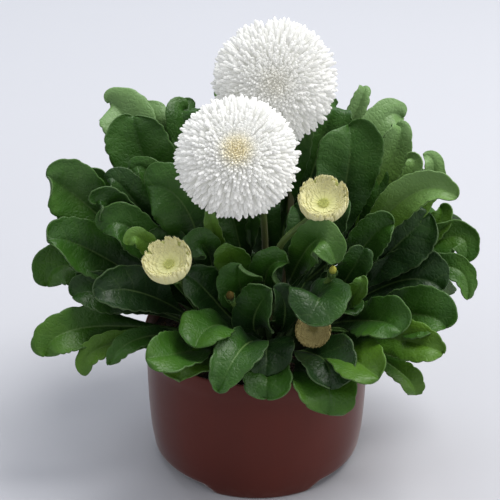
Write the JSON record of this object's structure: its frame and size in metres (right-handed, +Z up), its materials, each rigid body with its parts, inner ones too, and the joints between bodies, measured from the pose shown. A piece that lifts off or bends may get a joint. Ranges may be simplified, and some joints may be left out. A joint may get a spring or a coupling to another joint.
{
  "type": "potted pomponette english daisy",
  "caption": "Potted English daisy: a leafy rosette with white pompon blooms and cream buds on stalks, in a round brown plastic nursery pot on three low feet.",
  "frame": {"origin": "centre of the flat middle of the pot's underside", "axes": "+Z up along the pot's axis; -Y is the plant's front, where the open blooms face; +X is to the right as seen from the front"},
  "size_m": [0.1999, 0.1724, 0.2084],
  "materials": {
    "pot_plastic": "satin brown moulded plastic",
    "soil": "crumbly dark peat",
    "leaf": "satin leaf with pale midrib",
    "petal_white": "soft matt petal",
    "petal_cream": "soft matt petal",
    "bud_green": "soft matt bud",
    "dried_leaf": "dry and dull"
  },
  "bodies": {
    "root": {"pot": "pot_plastic", "potting_mix": "soil", "leaves_and_stalks": "leaf", "bloom_front": "petal_white", "bloom_back": "petal_white", "bud_left": "petal_cream", "bud_right": "petal_cream", "bud_low": "petal_cream", "closed_bud_centre": "bud_green", "closed_bud_right": "bud_green", "dried_leaf": "dried_leaf"}
  },
  "joints": []
}
